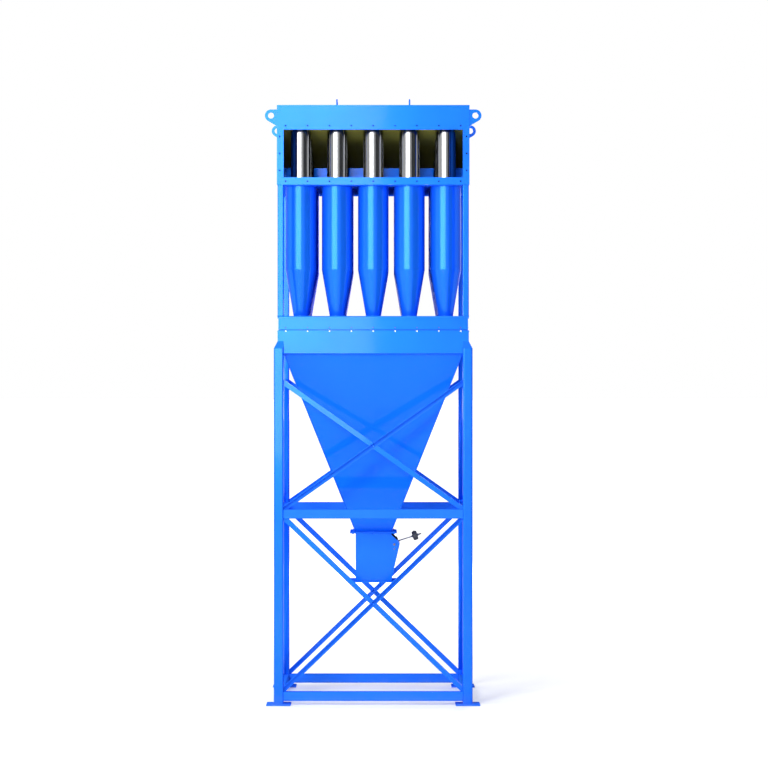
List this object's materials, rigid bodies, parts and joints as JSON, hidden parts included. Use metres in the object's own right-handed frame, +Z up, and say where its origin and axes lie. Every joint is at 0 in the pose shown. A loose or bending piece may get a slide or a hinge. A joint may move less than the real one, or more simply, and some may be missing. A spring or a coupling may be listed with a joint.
{
  "type": "multi-tube cyclone separator",
  "caption": "Blue multi-tube cyclone dust separator: gas box over a battery of cyclone tubes, tapered hopper with counterweighted flap valve, braced leg frame.",
  "frame": {"origin": "on the ground under the middle of the plan", "axes": "+Z up, the gas inlet faces -Y, +X to the right seen from the inlet"},
  "size_m": [1.782, 1.454, 4.993],
  "materials": {
    "blue_paint": "gloss",
    "polished_steel": "polished",
    "olive_primer": "satin",
    "dark_lid": "satin",
    "zinc_steel": "zinc plated",
    "dark_iron": "cast"
  },
  "bodies": {
    "separator": {"legs": "blue_paint", "foot_plates": "blue_paint", "bottom_beams": "blue_paint", "mid_beams": "blue_paint", "outer_upper_braces": "blue_paint", "outer_lower_braces": "blue_paint", "inner_upper_braces": "blue_paint", "inner_lower_braces": "blue_paint", "long_rim_beams": "blue_paint", "short_rim_beams": "blue_paint", "hopper_front_wall": "blue_paint", "hopper_right_wall": "blue_paint", "hopper_back_wall": "blue_paint", "hopper_left_wall": "blue_paint", "hopper_neck_flange": "blue_paint", "valve_top_flange": "blue_paint", "valve_outlet_flange": "blue_paint", "valve_front_plate": "blue_paint", "valve_back_plate": "blue_paint", "valve_left_plate": "blue_paint", "valve_right_plate": "blue_paint", "valve_nose_plate": "blue_paint", "valve_shoulder_plate": "blue_paint", "long_base_beams": "blue_paint", "short_base_beams": "blue_paint", "spigot_sheet": "blue_paint", "upper_posts": "blue_paint", "lower_tube_sheet": "blue_paint", "cyclones_row_1": "blue_paint", "cyclones_row_2": "blue_paint", "cyclones_row_3": "blue_paint", "cyclones_row_4": "blue_paint", "inlet_plate": "blue_paint", "outlet_plate": "blue_paint", "left_side_wall": "blue_paint", "right_side_wall": "blue_paint", "roof": "blue_paint", "lifting_lugs": "blue_paint", "roof_handles": "blue_paint", "outlet_tubes_row_1": "polished_steel", "outlet_tubes_row_2": "polished_steel", "outlet_tubes_row_3": "polished_steel", "outlet_tubes_row_4": "polished_steel", "upper_tube_sheet": "olive_primer", "swirl_vanes_row_1": "olive_primer", "swirl_vanes_row_2": "olive_primer", "swirl_vanes_row_3": "olive_primer", "swirl_vanes_row_4": "olive_primer", "valve_cover": "dark_lid"},
    "flap_valve": {"flap_shaft": "zinc_steel", "flap": "zinc_steel", "flap_lever": "zinc_steel", "counterweight": "dark_iron", "weight_collars": "zinc_steel"}
  },
  "joints": [
    {"name": "flap_swing", "type": "hinge", "parent": "separator", "child": "flap_valve", "pos_m": [0.1756, 0, 1.2877], "axis": [0, -1, 0], "range_deg": [0, 45]}
  ]
}
